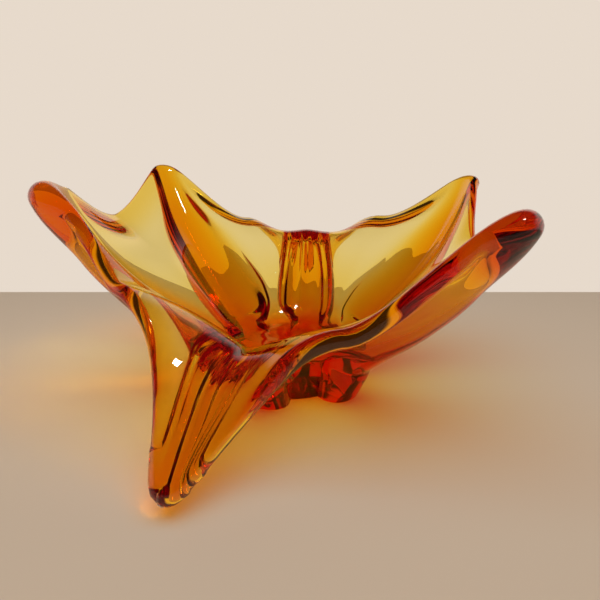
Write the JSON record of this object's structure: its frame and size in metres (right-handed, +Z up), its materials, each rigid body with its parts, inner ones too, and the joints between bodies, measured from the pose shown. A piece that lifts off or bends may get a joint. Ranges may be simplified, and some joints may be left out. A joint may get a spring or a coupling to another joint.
{
  "type": "art glass bowl",
  "caption": "Hand-worked amber glass bowl on a star foot, with thick ribs drawn into raised and folded-down arms and a thin pale wall between them",
  "frame": {"origin": "centre of the foot's flat underside, on the surface that the bowl stands on", "axes": "Z up out of the bowl, -Y towards the front arm that droops, +X to the right seen from the front"},
  "size_m": [0.3196, 0.3517, 0.1545],
  "materials": {
    "pale_amber_glass": "fire-polished, thin and pale honey",
    "amber_glass": "fire-polished, thick and deep orange",
    "red_amber_glass": "mould-smooth sides, ground underside"
  },
  "bodies": {
    "root": {"star_foot": "red_amber_glass", "bowl_wall": "pale_amber_glass", "rib_front": "amber_glass", "rib_right": "amber_glass", "rib_back_right": "amber_glass", "rib_back": "amber_glass", "rib_back_left": "amber_glass", "rib_left": "amber_glass"}
  },
  "joints": []
}
